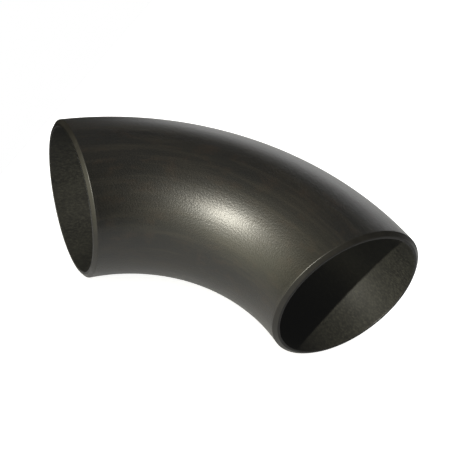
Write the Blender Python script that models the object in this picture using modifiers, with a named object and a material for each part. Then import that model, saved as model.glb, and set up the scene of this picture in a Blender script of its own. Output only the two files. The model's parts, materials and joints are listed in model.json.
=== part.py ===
"""Seamless 90 degree long radius butt weld elbow, DN 80 (NPS 3), carbon steel.

The elbow lies on its side: the bend turns about a vertical axis, weld end A faces -X and
weld end B faces -Y.  The origin is at the bottom centre of its box.  Units are metres.
"""
import math

import bmesh
import bpy

# Driving dimensions (ASME B16.9 long radius elbow, wall of EN 10253, ends of ASME B16.25)
OUTER_DIAMETER = 0.0889
BEND_RADIUS = 0.1143            # centre to end, and centre line radius
BEND_ANGLE = math.radians(90.0)
WALL = 0.0036
ROOT_FACE = 0.0014              # flat land left beside the bore
BEVEL_ANGLE = math.radians(37.5)    # measured from the plane of the end

# Sizes that follow from them
OUTER_RADIUS = OUTER_DIAMETER / 2
LAND_RADIUS = OUTER_RADIUS - WALL + ROOT_FACE
SPAN = BEND_RADIUS + OUTER_RADIUS
BEND_CENTRE = (-SPAN / 2, -SPAN / 2, OUTER_RADIUS)
END_A_CENTRE = (BEND_CENTRE[0], BEND_CENTRE[1] + BEND_RADIUS, BEND_CENTRE[2])
END_B_CENTRE = (BEND_CENTRE[0] + BEND_RADIUS, BEND_CENTRE[1], BEND_CENTRE[2])

# Faceting, and the lengths by which the raw sweep and the cutters run past what they meet
RING_SEGMENTS = 64
BEND_STEPS = 30
SWEEP_OVERRUN = math.radians(1.3)
CUTTER_CLEARANCE = 0.008
WELD_DISTANCE = 0.00001
SMOOTH_ANGLE = math.radians(30.0)

BLACK_STEEL = (0.035, 0.033, 0.028, 1.0)


def clear_scene():
    for obj in list(bpy.data.objects):
        bpy.data.objects.remove(obj, do_unlink=True)


def new_collection(name):
    collection = bpy.data.collections.new(name)
    bpy.context.scene.collection.children.link(collection)
    return collection


def black_steel():
    """Mill black steel under a thin satin varnish."""
    material = bpy.data.materials.new("black_steel")
    material.use_nodes = True
    shader = material.node_tree.nodes["Principled BSDF"]
    shader.inputs["Base Color"].default_value = BLACK_STEEL
    shader.inputs["Roughness"].default_value = 0.42
    shader.inputs["Metallic"].default_value = 0.6
    material.diffuse_color = BLACK_STEEL
    return material


def profile_object(name, points, closed, collection):
    """An outline in the XZ plane, ready for a Screw modifier about Z."""
    mesh = bpy.data.meshes.new(name)
    bm = bmesh.new()
    vertices = [bm.verts.new((x, 0.0, z)) for x, z in points]
    for first, second in zip(vertices, vertices[1:]):
        bm.edges.new((first, second))
    if closed:
        bm.edges.new((vertices[-1], vertices[0]))
    bm.to_mesh(mesh)
    bm.free()
    obj = bpy.data.objects.new(name, mesh)
    collection.objects.link(obj)
    return obj


def add_screw(obj, angle, steps, merge):
    screw = obj.modifiers.new("sweep", "SCREW")
    screw.axis = "Z"
    screw.angle = angle
    screw.steps = steps
    screw.render_steps = steps
    screw.use_merge_vertices = merge
    screw.merge_threshold = WELD_DISTANCE
    return screw


def smooth(obj):
    obj.data.shade_smooth()
    obj.data.set_sharp_from_angle(angle=SMOOTH_ANGLE)


def swept_shell(collection):
    """The bent pipe, left a little long at both ends: a circle swept about the bend axis."""
    turns = [-2 * math.pi * i / RING_SEGMENTS for i in range(RING_SEGMENTS)]
    circle = [(BEND_RADIUS + OUTER_RADIUS * math.cos(a), OUTER_RADIUS * math.sin(a)) for a in turns]
    body = profile_object("elbow_body", circle, True, collection)
    add_screw(body, BEND_ANGLE + 2 * SWEEP_OVERRUN, BEND_STEPS, False)
    wall = body.modifiers.new("wall", "SOLIDIFY")
    wall.thickness = WALL
    wall.offset = -1.0
    wall.use_even_offset = True
    body.location = BEND_CENTRE
    body.rotation_euler = (0.0, 0.0, -SWEEP_OVERRUN)
    body.data.materials.append(black_steel())
    smooth(body)
    return body


def end_cutter(name, centre, rotation, collection):
    """A turned cutter, +Z outward, that faces the end flat and bevels its outer edge.

    It is spun by half a facet about its own axis, so that its ridges meet the pipe's flats.
    """
    reach = OUTER_RADIUS + CUTTER_CLEARANCE
    drop = (reach - LAND_RADIUS) * math.tan(BEVEL_ANGLE)
    outline = [(0.0, CUTTER_CLEARANCE), (reach, CUTTER_CLEARANCE), (reach, -drop),
               (LAND_RADIUS, 0.0), (0.0, 0.0)]
    cutter = profile_object(name, outline, False, collection)
    add_screw(cutter, 2 * math.pi, RING_SEGMENTS, True)
    cutter.location = centre
    cutter.rotation_mode = "ZYX"
    cutter.rotation_euler = (rotation[0], rotation[1], math.pi / RING_SEGMENTS)
    cutter.hide_render = True
    cutter.display_type = "WIRE"
    return cutter


def cut(body, cutter):
    boolean = body.modifiers.new(cutter.name, "BOOLEAN")
    boolean.operation = "DIFFERENCE"
    boolean.solver = "EXACT"
    boolean.object = cutter


def build():
    clear_scene()
    parts = new_collection("pipe_elbow")
    cutters = new_collection("cutters")
    body = swept_shell(parts)
    quarter = math.pi / 2
    cut(body, end_cutter("end_a_cutter", END_A_CENTRE, (0.0, -quarter), cutters))
    cut(body, end_cutter("end_b_cutter", END_B_CENTRE, (quarter, 0.0), cutters))


build()
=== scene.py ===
"""The looks of a seamless butt weld elbow in black varnished carbon steel.

The elbow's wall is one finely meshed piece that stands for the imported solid.  Its outer sizes
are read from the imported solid's box and mounts.  Units are metres.
"""

import json
import math

import bmesh
import bpy
from mathutils import Matrix, Vector, noise


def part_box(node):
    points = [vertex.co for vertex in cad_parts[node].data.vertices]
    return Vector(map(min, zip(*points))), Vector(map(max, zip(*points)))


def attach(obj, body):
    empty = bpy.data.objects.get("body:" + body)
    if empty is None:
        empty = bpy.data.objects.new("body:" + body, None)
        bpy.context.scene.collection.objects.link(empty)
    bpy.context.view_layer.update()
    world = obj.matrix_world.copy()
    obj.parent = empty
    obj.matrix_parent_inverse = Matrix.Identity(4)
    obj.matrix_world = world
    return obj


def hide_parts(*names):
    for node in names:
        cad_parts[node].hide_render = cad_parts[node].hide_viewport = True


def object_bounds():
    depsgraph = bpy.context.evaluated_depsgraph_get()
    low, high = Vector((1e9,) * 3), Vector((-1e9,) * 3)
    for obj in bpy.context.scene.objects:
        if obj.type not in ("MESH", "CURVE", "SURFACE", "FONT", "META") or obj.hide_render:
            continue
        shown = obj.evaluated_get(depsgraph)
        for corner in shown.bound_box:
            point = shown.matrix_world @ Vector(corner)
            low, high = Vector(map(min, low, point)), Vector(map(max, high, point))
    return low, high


NODE = "elbow_body"

# End preparation, as in the CAD model
WALL = 0.0036
ROOT_FACE = 0.0014
BEVEL_ANGLE = math.radians(37.5)

# How far each edge of the end preparation is broken
BEVEL_EDGE = 0.00030
LAND_EDGE = 0.00038
BORE_EDGE = 0.00030

# Fineness of the mesh
RING_POINTS = 192
BEND_RINGS = 150
CORNER_STEPS = 4                # round each broken edge
CORNER_HOLD = 2                 # from a corner to where its flats are held, in edge sizes
END_CLEARANCE = 3               # from the bevel to the bend's first ring, in edge sizes

# Waves that hot forming leaves in the wall: (height, length across, length along the pipe)
FORMING_WAVES = ((0.00010, 0.030, 0.060), (0.00003, 0.009, 0.022))

# Zones of the surface, which are also its material slots
OUTSIDE, BEVEL, LAND, BORE = range(4)

# Patterns in the surface: (length across, length along the pipe, detail, roughness)
VARNISH_PATCHES = (0.022, 0.045, 4.0, 0.55)
VARNISH_STREAKS = (0.0035, 0.060, 4.0, 0.6)
VARNISH_RUST = (0.006, 0.014, 5.0, 0.65)
VARNISH_GRAIN = (0.0010, 0.0013, 2.0, 0.6)
VARNISH_PITS = (0.0003, 0.0003, 1.0, 0.55)
MACHINED_PATCHES = (0.006, 0.006, 4.0, 0.55)
BEVEL_TOOL_MARKS = (0.0007, 0.0007, 2.0, 0.55)
LAND_TOOL_MARKS = (0.0004, 0.0004, 2.0, 0.55)
BORE_PATCHES = (0.009, 0.016, 6.0, 0.7)
BORE_SPECKS = (0.0010, 0.0014, 3.0, 0.7)

# How far the patterns stand out
STREAK_HEIGHT = 0.00005
GRAIN_HEIGHT = 0.00008
PIT_HEIGHT = 0.00003
TOOL_MARK_HEIGHT = 0.00001
SPECK_HEIGHT = 0.00007

# Colours of the surface
VARNISH_DARK = (0.0012, 0.0012, 0.0008, 1.0)
VARNISH_THIN = (0.0030, 0.0025, 0.0014, 1.0)
VARNISH_BROWN = (0.0078, 0.0048, 0.0025, 1.0)
VARNISH_RUBBED = (0.0075, 0.0064, 0.0042, 1.0)
BEVEL_COLOUR = (0.0032, 0.0029, 0.0022, 1.0)
LAND_COLOUR = (0.0014, 0.0013, 0.0010, 1.0)
MACHINED_CONTRAST = 1.5         # how much lighter a machined face is where it is palest
SCALE_DARK = (0.0040, 0.0040, 0.0035, 1.0)
SCALE_PALE = (0.0085, 0.0085, 0.0072, 1.0)
SCALE_DUST = (0.018, 0.018, 0.0145, 1.0)

# Gloss: specular levels, the varnish film's weight and roughness, and the bore's roughness
FILM_IOR = 1.5
VARNISH_GLOSS = 0.16
VARNISH_FILM = 0.52
VARNISH_FILM_ROUGHNESS = 0.35
BEVEL_GLOSS = 0.28
LAND_GLOSS = 0.10
BORE_GLOSS = 0.28
BORE_ROUGHNESS = 0.44

# The camera: place from the bend centre, direction, roll and lens
CAMERA_FROM_BEND_CENTRE = (-0.08841, -0.18236, 0.25676)
CAMERA_AZIMUTH = math.radians(-34.23)
CAMERA_ELEVATION = math.radians(41.02)
CAMERA_ROLL = math.radians(-11.99)
CAMERA_LENS = 53.98
CAMERA_CLIP = 0.01
SENSOR_WIDTH = 36.0

# Tints of the lamps
KEY_TINT = (1.0, 0.965, 0.84)
WARM = (1.0, 0.97, 0.68)
AMBER = (1.0, 0.88, 0.45)
NEUTRAL = (1.0, 1.0, 1.0)

# The key lamp, small and far off, which lights only the elbow
KEY_AZIMUTH = math.radians(-68.8)
KEY_ELEVATION = math.radians(33.4)
KEY_SIZE = math.radians(1.0)
KEY_STRENGTH = 8.8

# Soft lamps far off: (azimuth, elevation, half width, strength, tint), the angles in degrees
SOFT_LAMPS = ((140.0, 2.0, 14.0, 2.35, NEUTRAL), (114.0, 4.0, 18.0, 0.62, NEUTRAL),
              (180.0, 68.0, 23.0, 0.28, NEUTRAL), (-113.0, 40.0, 23.0, 0.45, AMBER),
              (-88.0, 6.0, 23.0, 2.80, WARM), (-45.0, 8.0, 23.0, 1.15, WARM))
LAMP_CORE = 0.35                # of the half width, where a soft lamp starts to fade
LAMP_EDGE = 1.65                # of the half width, where it has faded out

# The room round them, and the backdrop that only the camera sees
ROOM_GLOW = 0.01
BACKDROP_GLOW = 1.0

# The floor: a strip of pale paper with a glow of its own and an overhead lamp for it alone
FLOOR_WIDTH = 0.60
FLOOR_LENGTH = 5.0
FLOOR_TURN = math.radians(-40.0)
FLOOR_SHIFT = 0.145             # to the right of the elbow
FLOOR_GLOW = 0.35               # what the elbow gets from it
FLOOR_GLOW_SEEN = 0.88          # what the camera sees of it
FLOOR_COLOUR = (0.70, 0.70, 0.70, 1.0)
FLOOR_ROUGHNESS = 0.9
FLOOR_LAMP_AZIMUTH = 0.0
FLOOR_LAMP_ELEVATION = math.radians(90.0)
FLOOR_LAMP_SIZE = math.radians(90.0)
FLOOR_LAMP_STRENGTH = 2.5

# How far stray light in the lens lifts the blacks
LENS_VEIL = 0.005


def direction(azimuth, elevation):
    """The unit vector towards a place seen at that azimuth, 0 being -Y and 90 degrees +X."""
    flat = math.cos(elevation)
    return Vector((math.sin(azimuth) * flat, -math.cos(azimuth) * flat, math.sin(elevation)))


class Elbow:
    """Sizes of the elbow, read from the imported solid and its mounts."""

    def __init__(self, record):
        low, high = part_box(NODE)
        mounts = {m["name"]: Vector(m["pos_m"]) for m in record["mounts"]}
        self.outer = (high.z - low.z) / 2
        self.centre = Vector((low.x, low.y, low.z + self.outer))
        self.bend = mounts["weld_end_a"].y - low.y
        self.bore = self.outer - WALL
        self.land = self.bore + ROOT_FACE
        self.bevel_depth = (self.outer - self.land) * math.tan(BEVEL_ANGLE)


# ---------------------------------------------------------------- shape

def broken_corner(before, corner, after, size):
    """Points along a corner that is rounded off by size, with one more to hold each flat."""
    incoming = (before - corner).normalized()
    outgoing = (after - corner).normalized()
    points = [corner + incoming * size * CORNER_HOLD]
    for step in range(CORNER_STEPS + 1):
        t = step / CORNER_STEPS
        points.append(corner + incoming * size * (1 - t) ** 2 + outgoing * size * t ** 2)
    points.append(corner + outgoing * size * CORNER_HOLD)
    return points


def end_profile(elbow):
    """(zone, radius, depth behind the end's plane) from the outside wall in to the bore."""
    wall = Vector((elbow.outer, elbow.bevel_depth * 2))
    shoulder = Vector((elbow.outer, elbow.bevel_depth))
    nose = Vector((elbow.land, 0.0))
    lip = Vector((elbow.bore, 0.0))
    inside = Vector((elbow.bore, elbow.bevel_depth))
    corners = (
        (OUTSIDE, BEVEL, broken_corner(wall, shoulder, nose, BEVEL_EDGE)),
        (BEVEL, LAND, broken_corner(shoulder, nose, lip, LAND_EDGE)),
        (LAND, BORE, broken_corner(nose, lip, inside, BORE_EDGE)),
    )
    profile = []
    for zone_before, zone_after, points in corners:
        middle = len(points) // 2
        for i, point in enumerate(points):
            profile.append((zone_before if i < middle else zone_after, point.x, point.y))
    return profile


def rings(elbow):
    """The closed run of rings (zone, angle, radius, depth): end B, outside, end A, bore.

    A ring's zone is that of the faces between it and the next ring.
    """
    quarter = math.pi / 2
    profile = end_profile(elbow)
    end_length = elbow.bevel_depth + END_CLEARANCE * BEVEL_EDGE
    clear = math.asin(end_length / (elbow.bend - elbow.outer))
    run = []
    for i in reversed(range(len(profile))):
        zone = profile[max(i - 1, 0)][0]
        run.append((zone, 0.0, profile[i][1], profile[i][2]))
    for step in range(BEND_RINGS + 1):
        angle = clear + (quarter - 2 * clear) * step / BEND_RINGS
        run.append((OUTSIDE, angle, elbow.outer, 0.0))
    for zone, radius, depth in profile:
        run.append((zone, quarter, radius, depth))
    for step in range(BEND_RINGS + 1):
        angle = quarter - clear - (quarter - 2 * clear) * step / BEND_RINGS
        run.append((BORE, angle, elbow.bore, 0.0))
    return run


def forming_wave(unbent):
    """How far the wall stands out at a point of the straightened pipe."""
    height = 0.0
    for size, across, along in FORMING_WAVES:
        sample = Vector((unbent.x / across, unbent.y / across, unbent.z / along))
        height += size * noise.noise(sample)
    return height


def ring_points(elbow, zone, angle, radius, depth):
    """(points, points of the straightened pipe) round one ring."""
    radial = Vector((math.cos(angle), math.sin(angle), 0.0))
    forward = Vector((-math.sin(angle), math.cos(angle), 0.0))
    near_end_b = angle < math.pi / 4
    inward = forward if near_end_b else -forward
    middle = elbow.centre + radial * elbow.bend + inward * depth
    length = elbow.bend * angle + (depth if near_end_b else -depth)
    points, unbent = [], []
    for i in range(RING_POINTS):
        turn = 2 * math.pi * i / RING_POINTS
        across = radial * math.cos(turn) + Vector((0.0, 0.0, math.sin(turn)))
        straight = Vector((radius * math.cos(turn), radius * math.sin(turn), length))
        swell = forming_wave(straight) if zone in (OUTSIDE, BORE) and depth == 0.0 else 0.0
        points.append(middle + across * (radius + swell))
        unbent.append(straight)
    return points, unbent


def elbow_mesh(elbow):
    """The closed wall of the elbow, with the straightened pipe's coordinates kept on it."""
    run = rings(elbow)
    bm = bmesh.new()
    unbent_layer = bm.verts.layers.float_vector.new("unbent")
    rows = []
    for zone, angle, radius, depth in run:
        points, unbent = ring_points(elbow, zone, angle, radius, depth)
        row = []
        for point, straight in zip(points, unbent):
            vertex = bm.verts.new(point)
            vertex[unbent_layer] = straight
            row.append(vertex)
        rows.append(row)
    for index, row in enumerate(rows):
        after = rows[(index + 1) % len(rows)]
        for i in range(RING_POINTS):
            j = (i + 1) % RING_POINTS
            face = bm.faces.new((row[i], row[j], after[j], after[i]))
            face.material_index = run[index][0]
            face.smooth = True
    bmesh.ops.recalc_face_normals(bm, faces=bm.faces)
    mesh = bpy.data.meshes.new("elbow_wall")
    bm.to_mesh(mesh)
    bm.free()
    return mesh


# ---------------------------------------------------------------- materials

class Nodes:
    """A short way to write a node tree."""

    def __init__(self, tree):
        self.tree = tree

    def fill(self, node, inputs):
        """Give a node its inputs, each one a value or another node's output."""
        for key, value in inputs.items():
            if isinstance(value, bpy.types.NodeSocket):
                self.tree.links.new(value, node.inputs[key])
            else:
                node.inputs[key].default_value = value

    def add(self, kind, inputs=None, **settings):
        node = self.tree.nodes.new("ShaderNode" + kind)
        for key, value in settings.items():
            setattr(node, key, value)
        self.fill(node, inputs or {})
        return node

    def spread(self, value, between, to=(0.0, 1.0)):
        """The value carried from one range over to another, and held at its ends."""
        inputs = {0: value, 1: between[0], 2: between[1], 3: to[0], 4: to[1]}
        return self.add("MapRange", inputs).outputs[0]

    def mix(self, factor, first, second):
        """A colour between two others."""
        return self.add("Mix", {0: factor, 6: first, 7: second}, data_type="RGBA").outputs[2]


class Surface(Nodes):
    """A new material.  Its patterns are laid out on the straightened pipe."""

    def __init__(self, name):
        self.material = bpy.data.materials.new(name)
        self.material.use_nodes = True
        super().__init__(self.material.node_tree)

    def pattern(self, across, along, detail, roughness):
        unbent = self.add("Attribute", attribute_name="unbent").outputs["Vector"]
        scale = (1 / across, 1 / across, 1 / along)
        place = self.add("VectorMath", {0: unbent, 1: scale}, operation="MULTIPLY").outputs[0]
        inputs = {"Vector": place, "Scale": 1.0, "Detail": detail, "Roughness": roughness}
        return self.add("TexNoise", inputs).outputs["Fac"]

    def relief(self, pattern, height, under=None):
        """The normal of a surface on which the pattern stands out, on top of what is under."""
        inputs = {"Strength": 1.0, "Distance": height, "Height": pattern}
        if under is not None:
            inputs["Normal"] = under
        return self.add("Bump", inputs).outputs["Normal"]

    def finish(self, inputs):
        """The material, its shader's inputs filled in."""
        self.fill(self.tree.nodes["Principled BSDF"], inputs)
        return self.material


def varnished_steel():
    """The outside: hot formed steel under a thin dark varnish, drawn out along the pipe."""
    surface = Surface("varnished_steel")
    patches = surface.pattern(*VARNISH_PATCHES)
    streaks = surface.pattern(*VARNISH_STREAKS)
    rust = surface.pattern(*VARNISH_RUST)
    grain = surface.pattern(*VARNISH_GRAIN)
    pits = surface.pattern(*VARNISH_PITS)
    thin = surface.spread(patches, between=(0.35, 0.65))
    rusty = surface.spread(rust, between=(0.52, 0.72), to=(0.0, 0.7))
    worn = surface.spread(streaks, between=(0.50, 0.70), to=(0.0, 0.7))
    tone = surface.mix(thin, VARNISH_DARK, VARNISH_THIN)
    tone = surface.mix(rusty, tone, VARNISH_BROWN)
    tone = surface.mix(worn, tone, VARNISH_RUBBED)
    normal = surface.relief(streaks, STREAK_HEIGHT)
    normal = surface.relief(grain, GRAIN_HEIGHT, normal)
    normal = surface.relief(pits, PIT_HEIGHT, normal)
    return surface.finish({
        "Base Color": tone,
        "Roughness": surface.spread(streaks, between=(0.3, 0.7), to=(0.48, 0.58)),
        "IOR": FILM_IOR,
        "Specular IOR Level": VARNISH_GLOSS,
        "Coat Weight": VARNISH_FILM,
        "Coat Roughness": VARNISH_FILM_ROUGHNESS,
        "Coat IOR": FILM_IOR,
        "Normal": normal,
        "Coat Normal": normal,
    })


def machined_end(name, colour, gloss, tool_marks):
    """A turned end face under the same varnish, with fine marks from the cutting tool."""
    surface = Surface(name)
    patches = surface.pattern(*MACHINED_PATCHES)
    pale = tuple(part * MACHINED_CONTRAST for part in colour[:3]) + (1.0,)
    return surface.finish({
        "Base Color": surface.mix(surface.spread(patches, between=(0.35, 0.7)), colour, pale),
        "Roughness": surface.spread(patches, between=(0.3, 0.7), to=(0.38, 0.5)),
        "IOR": FILM_IOR,
        "Specular IOR Level": gloss,
        "Normal": surface.relief(surface.pattern(*tool_marks), TOOL_MARK_HEIGHT),
    })


def scaled_bore():
    """The bore: mill scale with a little dust, matt and mottled."""
    surface = Surface("scaled_bore")
    patches = surface.pattern(*BORE_PATCHES)
    specks = surface.pattern(*BORE_SPECKS)
    dusty = surface.spread(specks, between=(0.45, 0.70), to=(0.0, 0.9))
    tone = surface.mix(surface.spread(patches, between=(0.35, 0.65)), SCALE_DARK, SCALE_PALE)
    return surface.finish({
        "Base Color": surface.mix(dusty, tone, SCALE_DUST),
        "Roughness": BORE_ROUGHNESS,
        "IOR": FILM_IOR,
        "Specular IOR Level": BORE_GLOSS,
        "Normal": surface.relief(specks, SPECK_HEIGHT),
    })


def add_wall(elbow):
    """The elbow's wall, with a material for each zone in the zones' order."""
    wall = bpy.data.objects.new("elbow_wall", elbow_mesh(elbow))
    bpy.context.scene.collection.objects.link(wall)
    materials = (
        varnished_steel(),
        machined_end("bevel_face", BEVEL_COLOUR, BEVEL_GLOSS, BEVEL_TOOL_MARKS),
        machined_end("root_face", LAND_COLOUR, LAND_GLOSS, LAND_TOOL_MARKS),
        scaled_bore(),
    )
    for material in materials:
        wall.data.materials.append(material)
    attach(wall, "root")
    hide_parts(NODE)
    return wall


# ---------------------------------------------------------------- stage

def add_floor(height):
    """A strip of pale paper that runs from the camera to behind the elbow."""
    middle = Vector((math.cos(FLOOR_TURN), math.sin(FLOOR_TURN), 0.0)) * FLOOR_SHIFT
    middle.z = height
    bpy.ops.mesh.primitive_plane_add(size=1.0, location=middle)
    floor = bpy.context.object
    floor.name = "floor"
    floor.scale = (FLOOR_WIDTH, FLOOR_LENGTH, 1.0)
    floor.rotation_euler = (0.0, 0.0, FLOOR_TURN)
    paper = Surface("white_floor")
    seen = paper.add("LightPath").outputs["Is Camera Ray"]
    floor.data.materials.append(paper.finish({
        "Base Color": FLOOR_COLOUR,
        "Roughness": FLOOR_ROUGHNESS,
        "Emission Color": (1.0, 1.0, 1.0, 1.0),
        "Emission Strength": paper.spread(seen, (0.0, 1.0), (FLOOR_GLOW, FLOOR_GLOW_SEEN)),
    }))
    return floor


def add_surround():
    """The soft lamps round the elbow in a dim room, and a white backdrop for the camera."""
    world = bpy.data.worlds.new("surround")
    bpy.context.scene.world = world
    world.use_nodes = True
    nodes = Nodes(world.node_tree)
    place = nodes.add("TexCoord").outputs["Generated"]
    glow = (ROOM_GLOW, ROOM_GLOW, ROOM_GLOW)
    for azimuth, elevation, half_width, strength, tint in SOFT_LAMPS:
        towards = direction(math.radians(azimuth), math.radians(elevation))
        facing = nodes.add("VectorMath", {0: place, 1: towards}, operation="DOT_PRODUCT")
        faded = math.cos(math.radians(half_width * LAMP_EDGE))
        full = math.cos(math.radians(half_width * LAMP_CORE))
        lobe = nodes.add("MapRange", {0: facing.outputs["Value"], 1: faded, 2: full, 4: strength},
                         interpolation_type="SMOOTHSTEP")
        lamp = nodes.add("VectorMath", {0: lobe.outputs[0], 1: tint, 2: glow},
                         operation="MULTIPLY_ADD")
        glow = lamp.outputs[0]
    seen = nodes.add("LightPath").outputs["Is Camera Ray"]
    backdrop = (BACKDROP_GLOW, BACKDROP_GLOW, BACKDROP_GLOW, 1.0)
    nodes.fill(world.node_tree.nodes["Background"], {"Color": nodes.mix(seen, glow, backdrop)})


def add_lamp(name, azimuth, elevation, size, strength, tint, lit_object):
    """A far lamp that lights one object only."""
    lamp = bpy.data.lights.new(name, "SUN")
    lamp.energy = strength
    lamp.angle = size
    lamp.color = tint
    holder = bpy.data.objects.new(name, lamp)
    bpy.context.scene.collection.objects.link(holder)
    towards = direction(azimuth, elevation)
    holder.rotation_euler = towards.to_track_quat("Z", "Y").to_euler()
    lit = bpy.data.collections.new("lit_by_" + name)
    lit.objects.link(lit_object)
    holder.light_linking.receiver_collection = lit


def add_camera(elbow):
    camera_data = bpy.data.cameras.new("camera")
    camera_data.lens = CAMERA_LENS
    camera_data.sensor_width = SENSOR_WIDTH
    camera_data.clip_start = CAMERA_CLIP
    camera = bpy.data.objects.new("camera", camera_data)
    bpy.context.scene.collection.objects.link(camera)
    back = direction(CAMERA_AZIMUTH, CAMERA_ELEVATION)
    right = Vector((math.cos(CAMERA_AZIMUTH), math.sin(CAMERA_AZIMUTH), 0.0))
    level = Matrix((right, back.cross(right), back)).transposed().to_4x4()
    place = Matrix.Translation(elbow.centre + Vector(CAMERA_FROM_BEND_CENTRE))
    camera.matrix_world = place @ level @ Matrix.Rotation(-CAMERA_ROLL, 4, "Z")
    bpy.context.scene.camera = camera


def set_view():
    """Plain tones, with the blacks lifted by the lens veil."""
    view = bpy.context.scene.view_settings
    view.view_transform = "Standard"
    view.use_curve_mapping = True
    view.curve_mapping.black_level = (-LENS_VEIL, -LENS_VEIL, -LENS_VEIL)


# ---------------------------------------------------------------- assembly

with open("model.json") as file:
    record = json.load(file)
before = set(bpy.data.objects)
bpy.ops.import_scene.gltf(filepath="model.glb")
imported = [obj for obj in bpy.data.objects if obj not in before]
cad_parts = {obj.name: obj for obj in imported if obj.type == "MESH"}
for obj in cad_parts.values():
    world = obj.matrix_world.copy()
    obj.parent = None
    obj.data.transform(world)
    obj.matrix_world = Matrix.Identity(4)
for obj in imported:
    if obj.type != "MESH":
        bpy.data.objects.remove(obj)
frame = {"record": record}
cad_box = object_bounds()
elbow = Elbow(frame["record"])
add_camera(elbow)
set_view()

wall = add_wall(elbow)
floor = add_floor(cad_box[0].z)
add_surround()
add_lamp("key", KEY_AZIMUTH, KEY_ELEVATION, KEY_SIZE, KEY_STRENGTH, KEY_TINT, wall)
add_lamp("floor_lamp", FLOOR_LAMP_AZIMUTH, FLOOR_LAMP_ELEVATION, FLOOR_LAMP_SIZE,
         FLOOR_LAMP_STRENGTH, NEUTRAL, floor)
